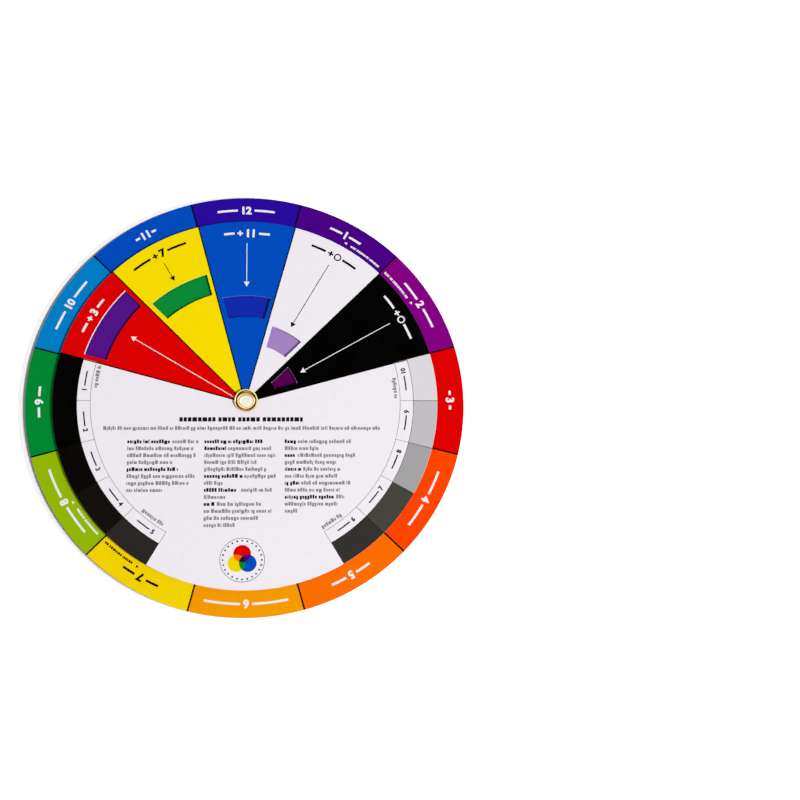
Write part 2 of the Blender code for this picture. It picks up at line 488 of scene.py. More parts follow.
def pointer(sheet, place, way, ink):
    """A small solid triangle that points along its line of writing, or against it."""
    corners = ((way * POINTER_SIZE, POINTER_SIZE / 2), (0, POINTER_SIZE), (0, 0))
    sheet.shape([place(x, y) for x, y in corners], ink)


def print_hue_ring():
    sheet = Sheet(seed=1)
    inner, outer = DISC_RADIUS * RING_START_SHARE, DISC_RADIUS + BLEED
    for hue, ink in enumerate(HUES):
        middle = hue * TWELFTH
        sheet.band(inner, outer, middle - TWELFTH / 2, middle + TWELFTH / 2, ink)
        label_hue(sheet, hue, HUE_LABEL_RADIUS_SHARE, middle)
    sheet.separators(inner, outer, SEPARATOR_WIDTH)
    radius = DISC_RADIUS * SMALL_LABEL_RADIUS_SHARE
    for start, end, tip, way, ink in RING_NOTES:
        sheet.words_on_arc(radius, start, end, SMALL_LABEL_HEIGHT, ink)
        pointer(sheet, on_arc(radius, tip), way, ink)
    print_mixtures(sheet)
    return sheet


def print_mixtures(sheet):
    """The rows of mixed colours that the front dial's windows show, one for each window: with red, with
    yellow, with blue, with white and with black."""
    reaches = [span(window) for window in DIAL_CUTS[1:-1]]
    margin = (reaches[0][0] - reaches[1][1]) / 2
    for row, (inner, outer) in enumerate(reaches):
        for hue, pure in enumerate(HUES):
            inks = [mixed(hue, added) for added in (RED, YELLOW, BLUE)]
            inks += [blend(pure, TINT_WHITE, TINT_SHARE), blend(pure, BLACK, SHADE_SHARE)]
            start = (hue - 0.5) * TWELFTH
            sheet.band(inner - margin, outer + margin, start, start + TWELFTH, inks[row])
    sheet.separators(reaches[-1][0] - margin, reaches[0][1] + margin, MIXTURE_LINE)


# The front dial's wedges: their edges, and for each its ink, its writing, its number if it has one, and
# the reach of its label in degrees
WEDGE_EDGES = (285, 315, 345, 15, 45, 75)
WEDGES = (
    (HUES[RED], CARD_WHITE, str(RED), 6.5),
    ("ffe300", BLACK, str(YELLOW), 9.75),
    (HUES[BLUE], CARD_WHITE, str(BLUE), 7.5),
    (CARD_WHITE, BLACK, None, 8.25),
    (BLACK, CARD_WHITE, None, 8.5),
)
WEDGE_LABEL_RADIUS_SHARE = 0.801
WEDGE_LABEL_CAP = 0.0042

# The label's plus, ring and digits, and the room that they take, as shares of the cap height
PLUS_REACH_SHARE = 0.36
PLUS_WEIGHT_SHARE = 0.22
PLUS_ROOM_SHARE = 0.35
PLUS_GAP_SHARE = 0.3
RING_WEIGHT_SHARE = 0.17
DIGIT_WIDTH_SHARE = 0.7

# Where the wedges meet, which is printed a little off the hub, and the lines between them
WEDGE_TIP = (-0.0006, -0.0010)
WEDGE_LINE = 0.0007

# How far windows keep from the lines between wedges. Painted highlights of the lit cut edges, printed as
# white
# strips beside three windows: window number, and how far the strip reaches past the outer arc and the sides
WINDOW_SIDE = 0.0025
PAINTED_EDGE_HIGHLIGHTS = ((0, 0.00040, 0.00004), (2, 0.00008, 0.00002), (4, 0.00009, 0.00008))

# The wedges' arrows, from tail to tip, and how far each of these two lies clockwise of the wedge's middle
ARROW_SHARES = ((0.06, 0.612), (0.771, 0.669), (0.769, 0.553), (0.764, 0.409), (0.764, 0.281))
ARROW_OFFSETS = ((-0.0016, 0), (0, 0), (0, 0), (0, 0), (0.0009, 0.0008))
ARROW_HEAD = 0.0028
ARROW_HALF_WIDTH = 0.0016
ARROW_LINE = 0.00042

# The grey scale: ten values from dark to light, half of them on each side, with the start and end angle
# of each side and the width of a cell in degrees
GREY_SIDES = ((210, 285), (75, 150))
GREY_VALUES = (
    "000000", "000000", "070504", "130f0c", "2a2725", "35332f", "47453f", "a7a5a7", "c4c1c4", "dfdcdf"
)
CELL = 15
CELL_INNER_SHARE = 0.767
LABEL_INNER_SHARE = 0.706
VALUE_BASE_SHARE = 0.7465
VALUE_CAP = 0.0024
VALUE_RULE = 0.0084
HALF_DIGIT = 0.0006

# The notes beside the grey scale, each with its start and end angle
NOTE_RADIUS_SHARE = 0.692
NOTES = ((275, 284), (212, 222), (80, 89), (141, 150))

# The words below the hub. The title and the line below it have their ends and their base line. A column
# has its left end and, from there, the ends of each line's bold and of its light words.
LINE_PITCH = 0.0038
TITLE = (-0.0354, 0.0329, -0.0117)
TITLE_HEIGHT = 0.0024
SUBTITLE = (-0.0757, 0.0732, -0.0163)
COLUMN_TOP = -0.0237
COLUMNS = (
    (-0.0628, (
        (0.0232, 0.0379), (0, 0.0358), (0, 0.0369), (0, 0.0239),
        (0.0273, 0.0273), (0, 0.0360), (0, 0.0327), (0, 0.0198),
    )),
    (-0.0220, (
        (0.0315, 0.0315), (0.0119, 0.0358), (0, 0.0387), (0, 0.0277), (0, 0.0338),
        (0.0205, 0.0392), (0, 0.0109), (0.0189, 0.0363), (0, 0.0132), (0.0062, 0.0308),
        (0, 0.0360), (0, 0.0287), (0, 0.0170),
    )),
    (0.0207, (
        (0.0063, 0.0354), (0, 0.0192), (0.0076, 0.0382), (0, 0.0282), (0.0092, 0.0295), (0, 0.0282),
        (0.0081, 0.0351), (0, 0.0300), (0.0266, 0.0322), (0, 0.0281), (0, 0.0076),
    )),
)

# The figure that fills the round place below the words: three overlapping discs in a ring of dots
FIGURE_CENTRE = (-0.0016, -0.0870)
FIGURE_RADIUS = 0.0118
FIGURE_DISC = 0.0046
FIGURE_SPREAD = 0.0034
FIGURE_TURNS = (0, 120, 240)
FIGURE_DOTS = 24
FIGURE_DOT = 0.00048
FIGURE_DOT_RADIUS = 0.0103


def print_front_dial():
    sheet = Sheet(seed=2, turn=DIAL_TURN)
    for start, (ink, *_) in zip(WEDGE_EDGES, WEDGES):
        sheet.shape([WEDGE_TIP] + arc(DIAL_RADIUS + BLEED, start, start + TWELFTH), ink)
    for edge in WEDGE_EDGES:
        sheet.line(WEDGE_TIP, polar(DIAL_RADIUS + BLEED, edge), WEDGE_LINE, BLACK)
    # Painted highlights: white strips printed beside the lit cut edges of three windows
    for window, outward, aside in PAINTED_EDGE_HIGHLIGHTS:
        bare_edge(sheet, window, outward, aside)
    for edge, wedge, shares, offsets in zip(WEDGE_EDGES, WEDGES, ARROW_SHARES, ARROW_OFFSETS):
        middle = edge + TWELFTH / 2
        print_wedge_label(sheet, middle, *wedge)
        print_arrow(sheet, middle, wedge[1], shares, offsets)
    print_grey_scale(sheet)
    print_words(sheet)
    print_figure(sheet)
    return sheet


def print_wedge_label(sheet, middle, ink, writing, text, reach):
    """A plus, and then a number or else a ring, between two rules."""
    radius = DISC_RADIUS * WEDGE_LABEL_RADIUS_SHARE
    place = on_arc(radius, middle)
    cap = WEDGE_LABEL_CAP
    width = cap * (len(text) if text else 1) * DIGIT_WIDTH_SHARE
    plus = -(width + cap * PLUS_ROOM_SHARE) / 2
    arm = cap * PLUS_REACH_SHARE
    weight = cap * PLUS_WEIGHT_SHARE / 2
    sheet.box(place, plus - arm, plus + arm, cap / 2 - weight, cap / 2 + weight, writing)
    sheet.box(place, plus - weight, plus + weight, cap / 2 - arm, cap / 2 + arm, writing)
    beside = plus + arm + cap * PLUS_GAP_SHARE + width / 2
    if text:
        sheet.number(place, text, cap, writing, middle=beside)
    else:
        sheet.disc(place(beside, cap / 2), cap / 2, writing)
        sheet.disc(place(beside, cap / 2), cap * (0.5 - RING_WEIGHT_SHARE), ink)
    ends = radius * radians(reach)
    sheet.rule(place, -ends, plus - arm - HUE_LABEL_GAP, cap, writing)
    sheet.rule(place, beside + width / 2 + HUE_LABEL_GAP, ends, cap, writing)


def print_arrow(sheet, middle, ink, shares, offsets):
    radii = [DISC_RADIUS * share for share in shares]
    angles = [middle + degrees(offset / radius) for offset, radius in zip(offsets, radii)]
    tail, tip = map(polar, radii, angles)
    place = on_line(tip, degrees(atan2(tail[1] - tip[1], tip[0] - tail[0])))
    sheet.line(tail, place(-ARROW_HEAD, 0), ARROW_LINE, ink)
    sheet.shape([tip, place(-ARROW_HEAD, -ARROW_HALF_WIDTH), place(-ARROW_HEAD, ARROW_HALF_WIDTH)], ink)


def bare_edge(sheet, window, outward, aside):
    """A white strip printed round a window, which shows as a white line beside the cut and at its corners:
    painted highlight of the lit cut edge.
    """
    inner, outer = span(DIAL_CUTS[window + 1])
    middle = WEDGE_EDGES[window] + TWELFTH / 2
    halves = [TWELFTH / 2 - degrees(asin((WINDOW_SIDE - aside) / radius)) for radius in (outer, inner)]
    corners = arc(outer + outward, middle - halves[0], middle + halves[0])
    corners += arc(inner, middle + halves[1], middle - halves[1])
    sheet.shape(corners, CARD_WHITE)


def print_grey_scale(sheet):
    cell_inner = DISC_RADIUS * CELL_INNER_SHARE
    label_inner = DISC_RADIUS * LABEL_INNER_SHARE
    for number, ink in enumerate(GREY_VALUES):
        side, cell = divmod(number, len(GREY_VALUES) // 2)
        start = GREY_SIDES[side][1] - CELL * (cell + 1)
        sheet.band(cell_inner, DIAL_RADIUS + BLEED, start, start + CELL, ink)
        print_grey_value(sheet, start + CELL / 2, str(number + 1))
    for first, last in GREY_SIDES:
        sheet.rim(cell_inner, first, last, HAIRLINE, DARK_TEXT)
        sheet.rim(label_inner, first, last, HAIRLINE, HAIRLINE_GREY)
        for edge in range(first, last + 1, CELL):
            sheet.ray(label_inner, cell_inner, edge, HAIRLINE, HAIRLINE_GREY)
    first, last = GREY_SIDES[1]
    for edge in range(first + CELL, last, CELL):
        sheet.ray(cell_inner, DIAL_RADIUS + BLEED, edge, HAIRLINE, DARK_TEXT)
    radius = DISC_RADIUS * NOTE_RADIUS_SHARE
    for start, end in NOTES:
        sheet.words_on_arc(radius, start, end, WORD_HEIGHT, LIGHT_TEXT, inward=True, capitals=False)


def print_grey_value(sheet, middle, text):
    """A rule for the word, and the value's number after it."""
    place = on_arc(DISC_RADIUS * VALUE_BASE_SHARE, middle, inward=True)
    digit = VALUE_RULE / 2 + HUE_LABEL_GAP + HALF_DIGIT * len(text)
    shift = -(digit - VALUE_RULE / 2) / 2
    sheet.rule(place, shift - VALUE_RULE / 2, shift + VALUE_RULE / 2, VALUE_CAP, DARK_TEXT)
    sheet.number(place, text, VALUE_CAP, DARK_TEXT, middle=shift + digit)


def print_words(sheet):
    left, right, base = TITLE
    sheet.words(on_line((0, base)), left, right, TITLE_HEIGHT, DARK_TEXT)
    left, right, base = SUBTITLE
    sheet.words(on_line((0, base)), left, right, WORD_HEIGHT, LIGHT_TEXT, capitals=False)
    for left, lines in COLUMNS:
        for row, (bold, light) in enumerate(lines):
            place = on_line((left, COLUMN_TOP - LINE_PITCH * row))
            sheet.small_print(place, 0, bold, light, WORD_HEIGHT * WORD_GAP_SHARE)


def print_figure(sheet):
    """Three overlapping discs of the primary hues, each overlap in the hue that the two mix to."""
    sheet.disc(FIGURE_CENTRE, FIGURE_RADIUS, DARK_TEXT)
    sheet.disc(FIGURE_CENTRE, FIGURE_RADIUS - HAIRLINE, CARD_WHITE)
    place = on_line(FIGURE_CENTRE)
    for dot in range(FIGURE_DOTS):
        sheet.disc(place(*polar(FIGURE_DOT_RADIUS, 360 * dot / FIGURE_DOTS)), FIGURE_DOT, DARK_TEXT)
    centres = [place(*polar(FIGURE_SPREAD, turn)) for turn in FIGURE_TURNS]
    for centre, hue in zip(centres, (RED, BLUE, YELLOW)):
        sheet.disc(centre, FIGURE_DISC, HUES[hue])
    apart = FIGURE_SPREAD * 3 ** 0.5
    half = degrees(acos(apart / 2 / FIGURE_DISC))
    overlaps = ((0, 1, 150, HUES[1]), (1, 2, 270, HUES[9]), (2, 0, 30, HUES[5]))
    for first, second, heading, ink in overlaps:
        lens = arc(FIGURE_DISC, heading - half, heading + half, centres[first])
        lens += arc(FIGURE_DISC, heading + 180 - half, heading + 180 + half, centres[second])
        sheet.shape(lens, ink)
    common = []
    for number, heading in enumerate((180, 300, 60)):
        common += arc(FIGURE_DISC, heading - half + 30, heading + half - 30, centres[number])
    sheet.shape(common, DARK_TEXT)


# The back of the wheel. Its middle card is printed a little to the left of the hub, with its hues turned
# this many degrees past the back dial's windows and its labels a little less.
BACK_HUE_TURN = 9.55
BACK_LABEL_TURN = 8.55
BACK_HUE_SHIFT = (-0.0010, 0.0001)

# The edges of the rows of tints, tones and shades, from the outermost
ROW_SHARES = (0.875, 0.7385, 0.6238, 0.48)
ROW_LINE = 0.0011
ROW_EDGE = 0.0002
ROW_EDGE_INK = "3a2e34"

# The hues' labels, which reach a little further here, in degrees
BACK_LABEL_RADIUS_SHARE = 0.905
BACK_LABEL_EXTRA = 0.6

# How much white, grey and black the tints, tones and shades hold, as shares of the mix
MIX_SHARES = (0.48, 0.38, 0.46)

# The greys of the tones that hold another one than the plain grey
TONE_GREYS = {0: "b0c0ff", 8: "666666", 9: "b4bcff", 10: "38c2b4", 11: "30bcb8"}

# Inks that part from this: hue and row, then the hue that they lean to, how far, and their own share
LEANING = {
    (0, 0): (0, 0, 0.53), (0, 2): (0, 0, 0.45), (1, 0): (1, 0, 0.52), (1, 1): (1, 0, 0.42),
    (1, 2): (0, 0.5, 0.55), (2, 0): (2, 0, 0.52), (5, 2): (4, 1, 0.3), (6, 0): (7, 0.45, 0.48),
    (6, 2): (5, 1, 0.3), (7, 0): (7, 0, 0.33), (7, 1): (8, 0.2, 0.17), (7, 2): (7, 0, 0.33),
    (8, 0): (7, 0.37, 0.37), (8, 1): (7, 0.51, 0.24), (9, 0): (8, 0.3, 0.53), (9, 1): (9, 0, 0.48),
    (9, 2): (10, 0.22, 0.46), (11, 0): (11, 0, 0.42), (11, 2): (0, 0.35, 0.3),
}


def print_back_hues():
    sheet = Sheet(seed=3, mirrored=True)
    sheet.shift = BACK_HUE_SHIFT
    edges = [DISC_RADIUS * share for share in ROW_SHARES]
    for step in range(12):
        hue = (YELLOW + step) % 12
        pure = HUES[hue]
        middle = step * TWELFTH + BACK_HUE_TURN
        start, end = middle - TWELFTH / 2, middle + TWELFTH / 2
        sheet.band(edges[0], DISC_RADIUS + BLEED, start, end, pure)
        added = (CARD_WHITE, TONE_GREYS.get(hue, MID_GREY), BLACK)
        for row, (outer, inner) in enumerate(zip(edges, edges[1:])):
            other, lean, share = LEANING.get((hue, row), (hue, 0.0, MIX_SHARES[row]))
            ink = blend(blend(pure, HUES[other], lean), added[row], share)
            sheet.band(inner, outer, start, end, ink)
        angle = step * TWELFTH + BACK_LABEL_TURN
        label_hue(sheet, hue, BACK_LABEL_RADIUS_SHARE, angle, BACK_LABEL_EXTRA)
    for edge in edges[1:-1]:
        sheet.rim(edge, 0, 360, ROW_EDGE, ROW_EDGE_INK)
    sheet.separators(edges[-1], DISC_RADIUS + BLEED, ROW_LINE, BACK_HUE_TURN)
    return sheet


# The figure round the back's hub: a circle, and shapes with their corners on it, from the lowest to the
# top. Only the topmost one's first corner lies inside it. All of it is printed a little off the hub.
CIRCLE_SHARE = 0.4325
SHAPES_SHIFT = (-0.0005, -0.0011)
SHAPES = (
    ("6c6a6d", (330, 60, 150, 240)),
    ("b7b4b9", (300, 60, 120, 240)),
    ("d0cdd2", (0, 120, 240)),
    ("dfdbe1", (0, 150, 210)),
)
SPLIT_TIP_SHARE = 0.36
FIGURE_LINE = 0.0003
FIGURE_INK = "5b575e"
MIDDLE_LINE = 0.00042
MIDDLE_LINE_SHARES = (0.36, 0.375)

# The small arrowheads' clock angles and the radii of their tips, as shares
HEADS = ((0, 0.381), (180, 0.398), (119, 0.408), (151, 0.411), (209, 0.411), (241, 0.408))
HEAD_LENGTH = 0.0024
HEAD_HALF_WIDTH = 0.0012

# The figure's labels: the middle of the line of writing, its tilt in degrees and its half length
SHAPE_LABELS = (
    (-0.0186, 0.0369, 15, 0.0065),
    (-0.0355, 0.0197, 0, 0.0063),
    (-0.0346, -0.0184, -60, 0.0049),
    (-0.0146, -0.0221, -73.8, 0.0188),
    (0.0038, -0.0288, -90, 0.0139),
)
SHAPE_LABEL_CAP = 0.0022

# The heading above the figure: its radius as a share, and its start and end angle
HEADING = (0.453, -38, 46)
HEADING_CAP = 0.0028

# Labels between the windows: clock angle and half length in degrees. The topmost has a mark at each end.
GAP_LABELS = ((0.7, 4.9), (118.3, 2.4), (151, 9.0), (183.5, 7.0), (211, 9.0), (238.3, 2.4))
GAP_LABEL_BASE_SHARE = 0.862
GAP_LABEL_CAP = 0.002
MARK_GAP = 0.0024
MARK_SIZE = 0.0018

# The rows' labels: radii as shares and half lengths, the angles of the windows that they stand beside, and
# how many degrees further round they stand
ROW_LABELS = ((0.80, 0.0029), (0.70, 0.0034), (0.575, 0.0043))
ROW_LABEL_WINDOWS = (0, 60, 300)
ROW_LABEL_TURN = 15.7

# The label of two lines beside the right window: clock angle, radius as a share and half length, and how
# many degrees the lines lie from its middle
SIDE_LABEL = (77.0, 0.92, 0.0048)
SIDE_LABEL_SPREAD = 0.85
SIDE_LABEL_CAP = 0.0016

# The blocks of words: clock angle, first and last line as shares, and for each line how much is bold. A
# line reaches a share of its radius to each side, times a random fill, with a gap after its bold words.
BLOCKS = (
    (-26.5, 0.892, 0.557, (1, 0.45, 0, 0, 0.4, 0, 0, 1, 0, 0, 0, 0)),
    (32.3, 0.9, 0.56, (1, 0, 0, 0, 0, 1, 0, 0, 0, 0, 0, 0)),
    (91, 0.928, 0.515, (0.25, 0, 0, 0, 0.2, 0, 0, 0, 0.2, 0, 0, 0, 0)),
    (-90, 0.91, 0.54, (0.3, 0, 0, 0, 0, 0.35, 0, 0, 0, 0, 0, 0)),
)
BLOCK_SPREAD_SHARE = 0.195
BLOCK_FILL = (0.72, 1.0)
BLOCK_GAP = 0.00075


def print_back_dial():
    sheet = Sheet(seed=4, mirrored=True)
    sheet.shift = SHAPES_SHIFT
    print_shapes(sheet)
    sheet.shift = (0.0, 0.0)
    for middle, reach in GAP_LABELS:
        print_gap_label(sheet, middle, reach)
    for window in ROW_LABEL_WINDOWS:
        turn = window + ROW_LABEL_TURN
        tilt = turn - 90 if turn < 180 else turn + 90
        for share, reach in ROW_LABELS:
            place = on_line(polar(DISC_RADIUS * share, turn), tilt)
            sheet.words(place, -reach, reach, GAP_LABEL_CAP, LIGHT_TEXT)
    angle, share, reach = SIDE_LABEL
    for line in (-1, 1):
        place = on_line(polar(DISC_RADIUS * share, angle + line * SIDE_LABEL_SPREAD), angle - 90)
        sheet.words(place, -reach, reach, SIDE_LABEL_CAP, LIGHT_TEXT)
    for block in BLOCKS:
        print_block(sheet, *block)
    return sheet


def print_gap_label(sheet, middle, reach):
    inward = 90 < middle < 270
    radius = DISC_RADIUS * GAP_LABEL_BASE_SHARE + (GAP_LABEL_CAP if inward else 0)
    half = radius * radians(reach)
    place = on_arc(radius, middle, inward)
    sheet.words(place, -half, half, GAP_LABEL_CAP, LIGHT_TEXT)
    if inward:
        return
    for x in (-half - MARK_GAP, half + MARK_GAP):
        corners = ((x - MARK_SIZE / 2, 0), (x + MARK_SIZE / 2, 0), (x, MARK_SIZE))
        sheet.shape([place(*corner) for corner in corners], DARK_TEXT)


def print_block(sheet, angle, first, last, lines):
    for row, bold in enumerate(lines):
        radius = DISC_RADIUS * (first + (last - first) * row / (len(lines) - 1))
        reach = radius * BLOCK_SPREAD_SHARE * sheet.random.uniform(*BLOCK_FILL)
        place = on_line(polar(radius, angle), angle)
        split = -reach + 2 * reach * bold
        sheet.small_print(place, -reach, split, reach, BLOCK_GAP)


def print_shapes(sheet):
    radius = DISC_RADIUS * CIRCLE_SHARE
    sheet.rim(radius, 0, 360, FIGURE_LINE, FIGURE_INK)
    for number, (ink, turns) in enumerate(SHAPES):
        corners = [polar(radius, turn) for turn in turns]
        if number == len(SHAPES) - 1:
            corners[0] = (0.0, DISC_RADIUS * SPLIT_TIP_SHARE)
        sheet.shape(corners, ink)
        sheet.outline(corners, FIGURE_LINE, FIGURE_INK)
    upper, lower = (DISC_RADIUS * share for share in MIDDLE_LINE_SHARES)
    sheet.line((0.0, upper), (0.0, -lower), MIDDLE_LINE, FIGURE_INK)
    for angle, share in HEADS:
        tip = DISC_RADIUS * share
        side = degrees(HEAD_HALF_WIDTH / tip)
        back = tip - HEAD_LENGTH
        sheet.shape([polar(tip, angle), polar(back, angle + side), polar(back, angle - side)], BLACK)
    for x, y, tilt, reach in SHAPE_LABELS:
        sheet.words(on_line((x, y), tilt), -reach, reach, SHAPE_LABEL_CAP, DARK_TEXT)
    share, start, end = HEADING
    sheet.words_on_arc(DISC_RADIUS * share, start, end, HEADING_CAP, DARK_TEXT)


# Materials
INK_MOTTLE = (0.985, 1.01)
PRINT_ROUGHNESS = (0.19, 0.27)
CARD_SHINE = 0.2
# The cut edge's fibre, darkened from pale card to grey: painted shade on the edge
SHADED_CORE_COLOURS = ("a49e97", "8a837c")
CORE_ROUGHNESS = 0.85
BRASS_COLOURS = ("f0dca0", "d6b05c")
BRASS_ROUGHNESS = (0.11, 0.24)


class Nodes:
    """Fills a node tree, which it empties first."""

    def __init__(self, tree):
        self.tree = tree
        tree.nodes.clear()

    def add(self, kind, sockets=None, **settings):
        node = self.tree.nodes.new(kind)
        for key, value in settings.items():
            setattr(node, key, value)
        for key, value in (sockets or {}).items():
            if isinstance(value, bpy.types.NodeSocket):
                self.tree.links.new(value, node.inputs[key])
            else:
                node.inputs[key].default_value = value
        return node

    def noise(self, scale, detail, roughness=0.5, stretch=(1.0, 1.0, 1.0)):
        """Noise of about this many spots to the metre, stretched along the object's axes."""
        place = self.add("ShaderNodeTexCoord").outputs["Object"]
        shaped = self.add("ShaderNodeMapping", {"Vector": place, "Scale": stretch}).outputs["Vector"]
        sockets = {"Vector": shaped, "Scale": scale, "Detail": detail, "Roughness": roughness}
        return self.add("ShaderNodeTexNoise", sockets).outputs["Fac"]

    def between(self, value, low, high, start=0.3, end=0.7):
        """A value between low and high, where the one given runs from this start to this end."""
        sockets = {"Value": value, "From Min": start, "From Max": end, "To Min": low, "To Max": high}
        return self.add("ShaderNodeMapRange", sockets).outputs["Result"]

    def ramp(self, value, codes, spots):
        """The colours of these codes, each at its spot of the value from 0 to 1, blended in between."""
        ramp = self.add("ShaderNodeValToRGB", {"Fac": value})
        stops = ramp.color_ramp.elements
        while len(stops) < len(codes):
            stops.new(1.0)
        for stop, code, spot in zip(stops, codes, spots):
            stop.color = (*linear(code), 1.0)
            stop.position = spot
        return ramp.outputs["Color"]

    def bump(self, height, strength, distance):
        sockets = {"Height": height, "Strength": strength, "Distance": distance}
        return self.add("ShaderNodeBump", sockets).outputs["Normal"]

    def maths(self, operation, first, second):
        return self.add("ShaderNodeMath", {0: first, 1: second}, operation=operation).outputs[0]

    def surface(self, sockets):
        shader = self.add("ShaderNodeBsdfPrincipled", sockets)
        self.add("ShaderNodeOutputMaterial", {"Surface": shader.outputs["BSDF"]})


def new_material(name):
    material = bpy.data.materials.new(name)
    material.use_nodes = True
    return material, Nodes(material.node_tree)


def printed_card():
    """Ink under a semi-gloss film, with a little mottle and the film's fine orange peel."""
    material, nodes = new_material("printed_card")
    ink = nodes.add("ShaderNodeAttribute", attribute_name="ink").outputs["Color"]
    mottle = nodes.between(nodes.noise(scale=260.0, detail=4.0), *INK_MOTTLE)
    colour = nodes.add("ShaderNodeHueSaturation", {"Color": ink, "Value": mottle}).outputs["Color"]
    rough = nodes.noise(scale=90.0, detail=5.0, roughness=0.6)
    nodes.surface({
        "Base Color": colour,
        "Roughness": nodes.between(rough, *PRINT_ROUGHNESS),
        "Specular IOR Level": CARD_SHINE,
        "Normal": nodes.bump(nodes.noise(scale=1400.0, detail=2.0), strength=0.12, distance=0.00005),
    })
    return material


def card_core():
    """The bare cut edge of a card: fibre pressed in layers, in a grey darker than pale card, which is
    painted shade.
    """
    material, nodes = new_material("card_core")
    fibre = nodes.noise(scale=2600.0, detail=4.0, roughness=0.6, stretch=(1.0, 1.0, 4.0))
    nodes.surface({
        "Base Color": nodes.ramp(fibre, SHADED_CORE_COLOURS, (0.35, 0.7)),
        "Roughness": CORE_ROUGHNESS,
        "Specular IOR Level": CARD_SHINE,
        "Normal": nodes.bump(fibre, strength=0.4, distance=0.00005),
    })
    return material


def polished_brass():
    """Pressed brass: bright, with fine scratches and a warmer tarnish in patches."""
    material, nodes = new_material("polished_brass")
    patches = nodes.noise(scale=420.0, detail=4.0, roughness=0.55)
    scratches = nodes.noise(scale=5200.0, detail=2.0, stretch=(1.0, 0.12, 1.0))
    nodes.surface({
        "Base Color": nodes.ramp(patches, BRASS_COLOURS, (0.4, 0.8)),
        "Metallic": 1.0,
        "Roughness": nodes.between(patches, *BRASS_ROUGHNESS),
        "Normal": nodes.bump(scratches, strength=0.08, distance=0.00003),
    })
    return material


CARD_PRINT = printed_card()
CARD_CORE = card_core()
BRASS = polished_brass()

# The eyelet: a flange above, a plain barrel, and a clinched end whose petals are rolled flat. The greater
# the sharpness, the narrower are the slits between the petals.
BORE = 0.0035
BARREL = 0.0039
FLANGE_BOTTOM = 0.0040
CLINCH_RADIUS = 0.0053
CLINCH_HEIGHT = 0.0010
CLINCH_FLARE = 0.0005
FOOT_RADIUS = 0.0046
PETALS = 8
SLIT_DEPTH = 0.00055
SLIT_SHARPNESS = 14
EYELET_STEPS = 256
ROLL_STEPS = 16
SHARP_ANGLE = 50

# The flange's section: a mouth that opens from the bore to the crest, and a roll from there to the lip
CREST = (0.0052, 0.0050)
MOUTH_HEIGHT = 0.0034
LIP_RADIUS = 0.0064


def quarter(centre, reach, start):
    """Points on a quarter of an ellipse in the eyelet's section, clockwise from this angle."""
    turns = [start - pi / 2 * i / ROLL_STEPS for i in range(ROLL_STEPS + 1)]
    return [(centre[0] + reach[0] * cos(t), centre[1] + reach[1] * sin(t)) for t in turns]


def eyelet_section():
    """Radius and height of the points round the brass, from the mouth outwards over the flange."""
    centre = (FOOT_RADIUS, CLINCH_HEIGHT / 2)
    reach = (CLINCH_RADIUS - FOOT_RADIUS, CLINCH_HEIGHT / 2)
    roll = quarter(centre, reach, pi / 2) + quarter(centre, reach, 0.0)[1:]
    flare = quarter((BORE + CLINCH_FLARE, CLINCH_FLARE), (CLINCH_FLARE, CLINCH_FLARE), -pi / 2)
    mouth = quarter((CREST[0], MOUTH_HEIGHT), (CREST[0] - BORE, CREST[1] - MOUTH_HEIGHT), pi)
    lip = (LIP_RADIUS - CREST[0], CREST[1] - FLANGE_BOTTOM)
    flange = quarter((CREST[0], FLANGE_BOTTOM), lip, pi / 2)
    return mouth + flange[1:] + [(BARREL, FLANGE_BOTTOM), (BARREL, CLINCH_HEIGHT)] + roll + flare


def make_eyelet():
    section = eyelet_section()
    vertices, faces = [], []
    for step in range(EYELET_STEPS):
        turn = tau * step / EYELET_STEPS
        slit = ((1 + cos(PETALS * turn)) / 2) ** SLIT_SHARPNESS
        for radius, height in section:
            share = max(0.0, (radius - FOOT_RADIUS) / (CLINCH_RADIUS - FOOT_RADIUS))
            drawn = radius - SLIT_DEPTH * share * slit if height <= CLINCH_HEIGHT else radius
            vertices.append((drawn * cos(turn), drawn * sin(turn), height))
    size = len(section)
    for step in range(EYELET_STEPS):
        here, after = step * size, (step + 1) % EYELET_STEPS * size
        for k in range(size):
            m = (k + 1) % size
            faces.append((here + k, after + k, after + m, here + m))
    mesh = bpy.data.meshes.new("brass_eyelet")
    mesh.from_pydata(vertices, [], faces)
    mesh.shade_smooth()
    mesh.set_sharp_from_angle(angle=radians(SHARP_ANGLE))
    mesh.materials.append(BRASS)
    return add_object("brass_eyelet", mesh)


def dress(piece, body, node):
    """Puts a piece on its body, in the place of its solid."""
    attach(piece, body)
    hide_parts(node)


disc = make_card("printed_disc", "colour_disc", top=print_hue_ring(), bottom=print_back_hues())
front_dial = make_card("printed_front_dial", "front_dial", top=print_front_dial())
back_dial = make_card("printed_back_dial", "back_dial", bottom=print_back_dial())
eyelet = make_eyelet()
dress(disc, "disc", "colour_disc")
dress(front_dial, "front_dial_body", "front_dial")
dress(back_dial, "back_dial_body", "back_dial")
dress(eyelet, "disc", "eyelet")

# The floor, a little below the wheel
FLOOR_DROP = 0.00005
FLOOR_SIZE = 12.0
FLOOR_WHITE = 0.8
FLOOR_GLOW = 0.7

# The sky, and the one that shiny faces mirror: their codes from low to high. The second one's heights run
# along a direction that leans to the camera.
SKY_CODES = ("ffffff", "303030")
SKY_HEIGHTS = (0.25, 0.60)
SHINE_CODES = ("ffffff", "1c0f02", "1c0f02", "d8bc84")
SHINE_HEIGHTS = (0.53, 0.67, 0.88, 0.95)
SHINE_LEAN = (-0.11, -0.29, 0.91)
SHINE_STRENGTH = 1.3

# Each lamp's direction as an angle from +X towards +Y, its elevation, power and size, and if shiny faces
# mirror it
LAMPS = ((-25, 32, 200.0, 0.53, False), (150, 46, 16.0, 1.6, True))
LAMP_DISTANCE = 4.0

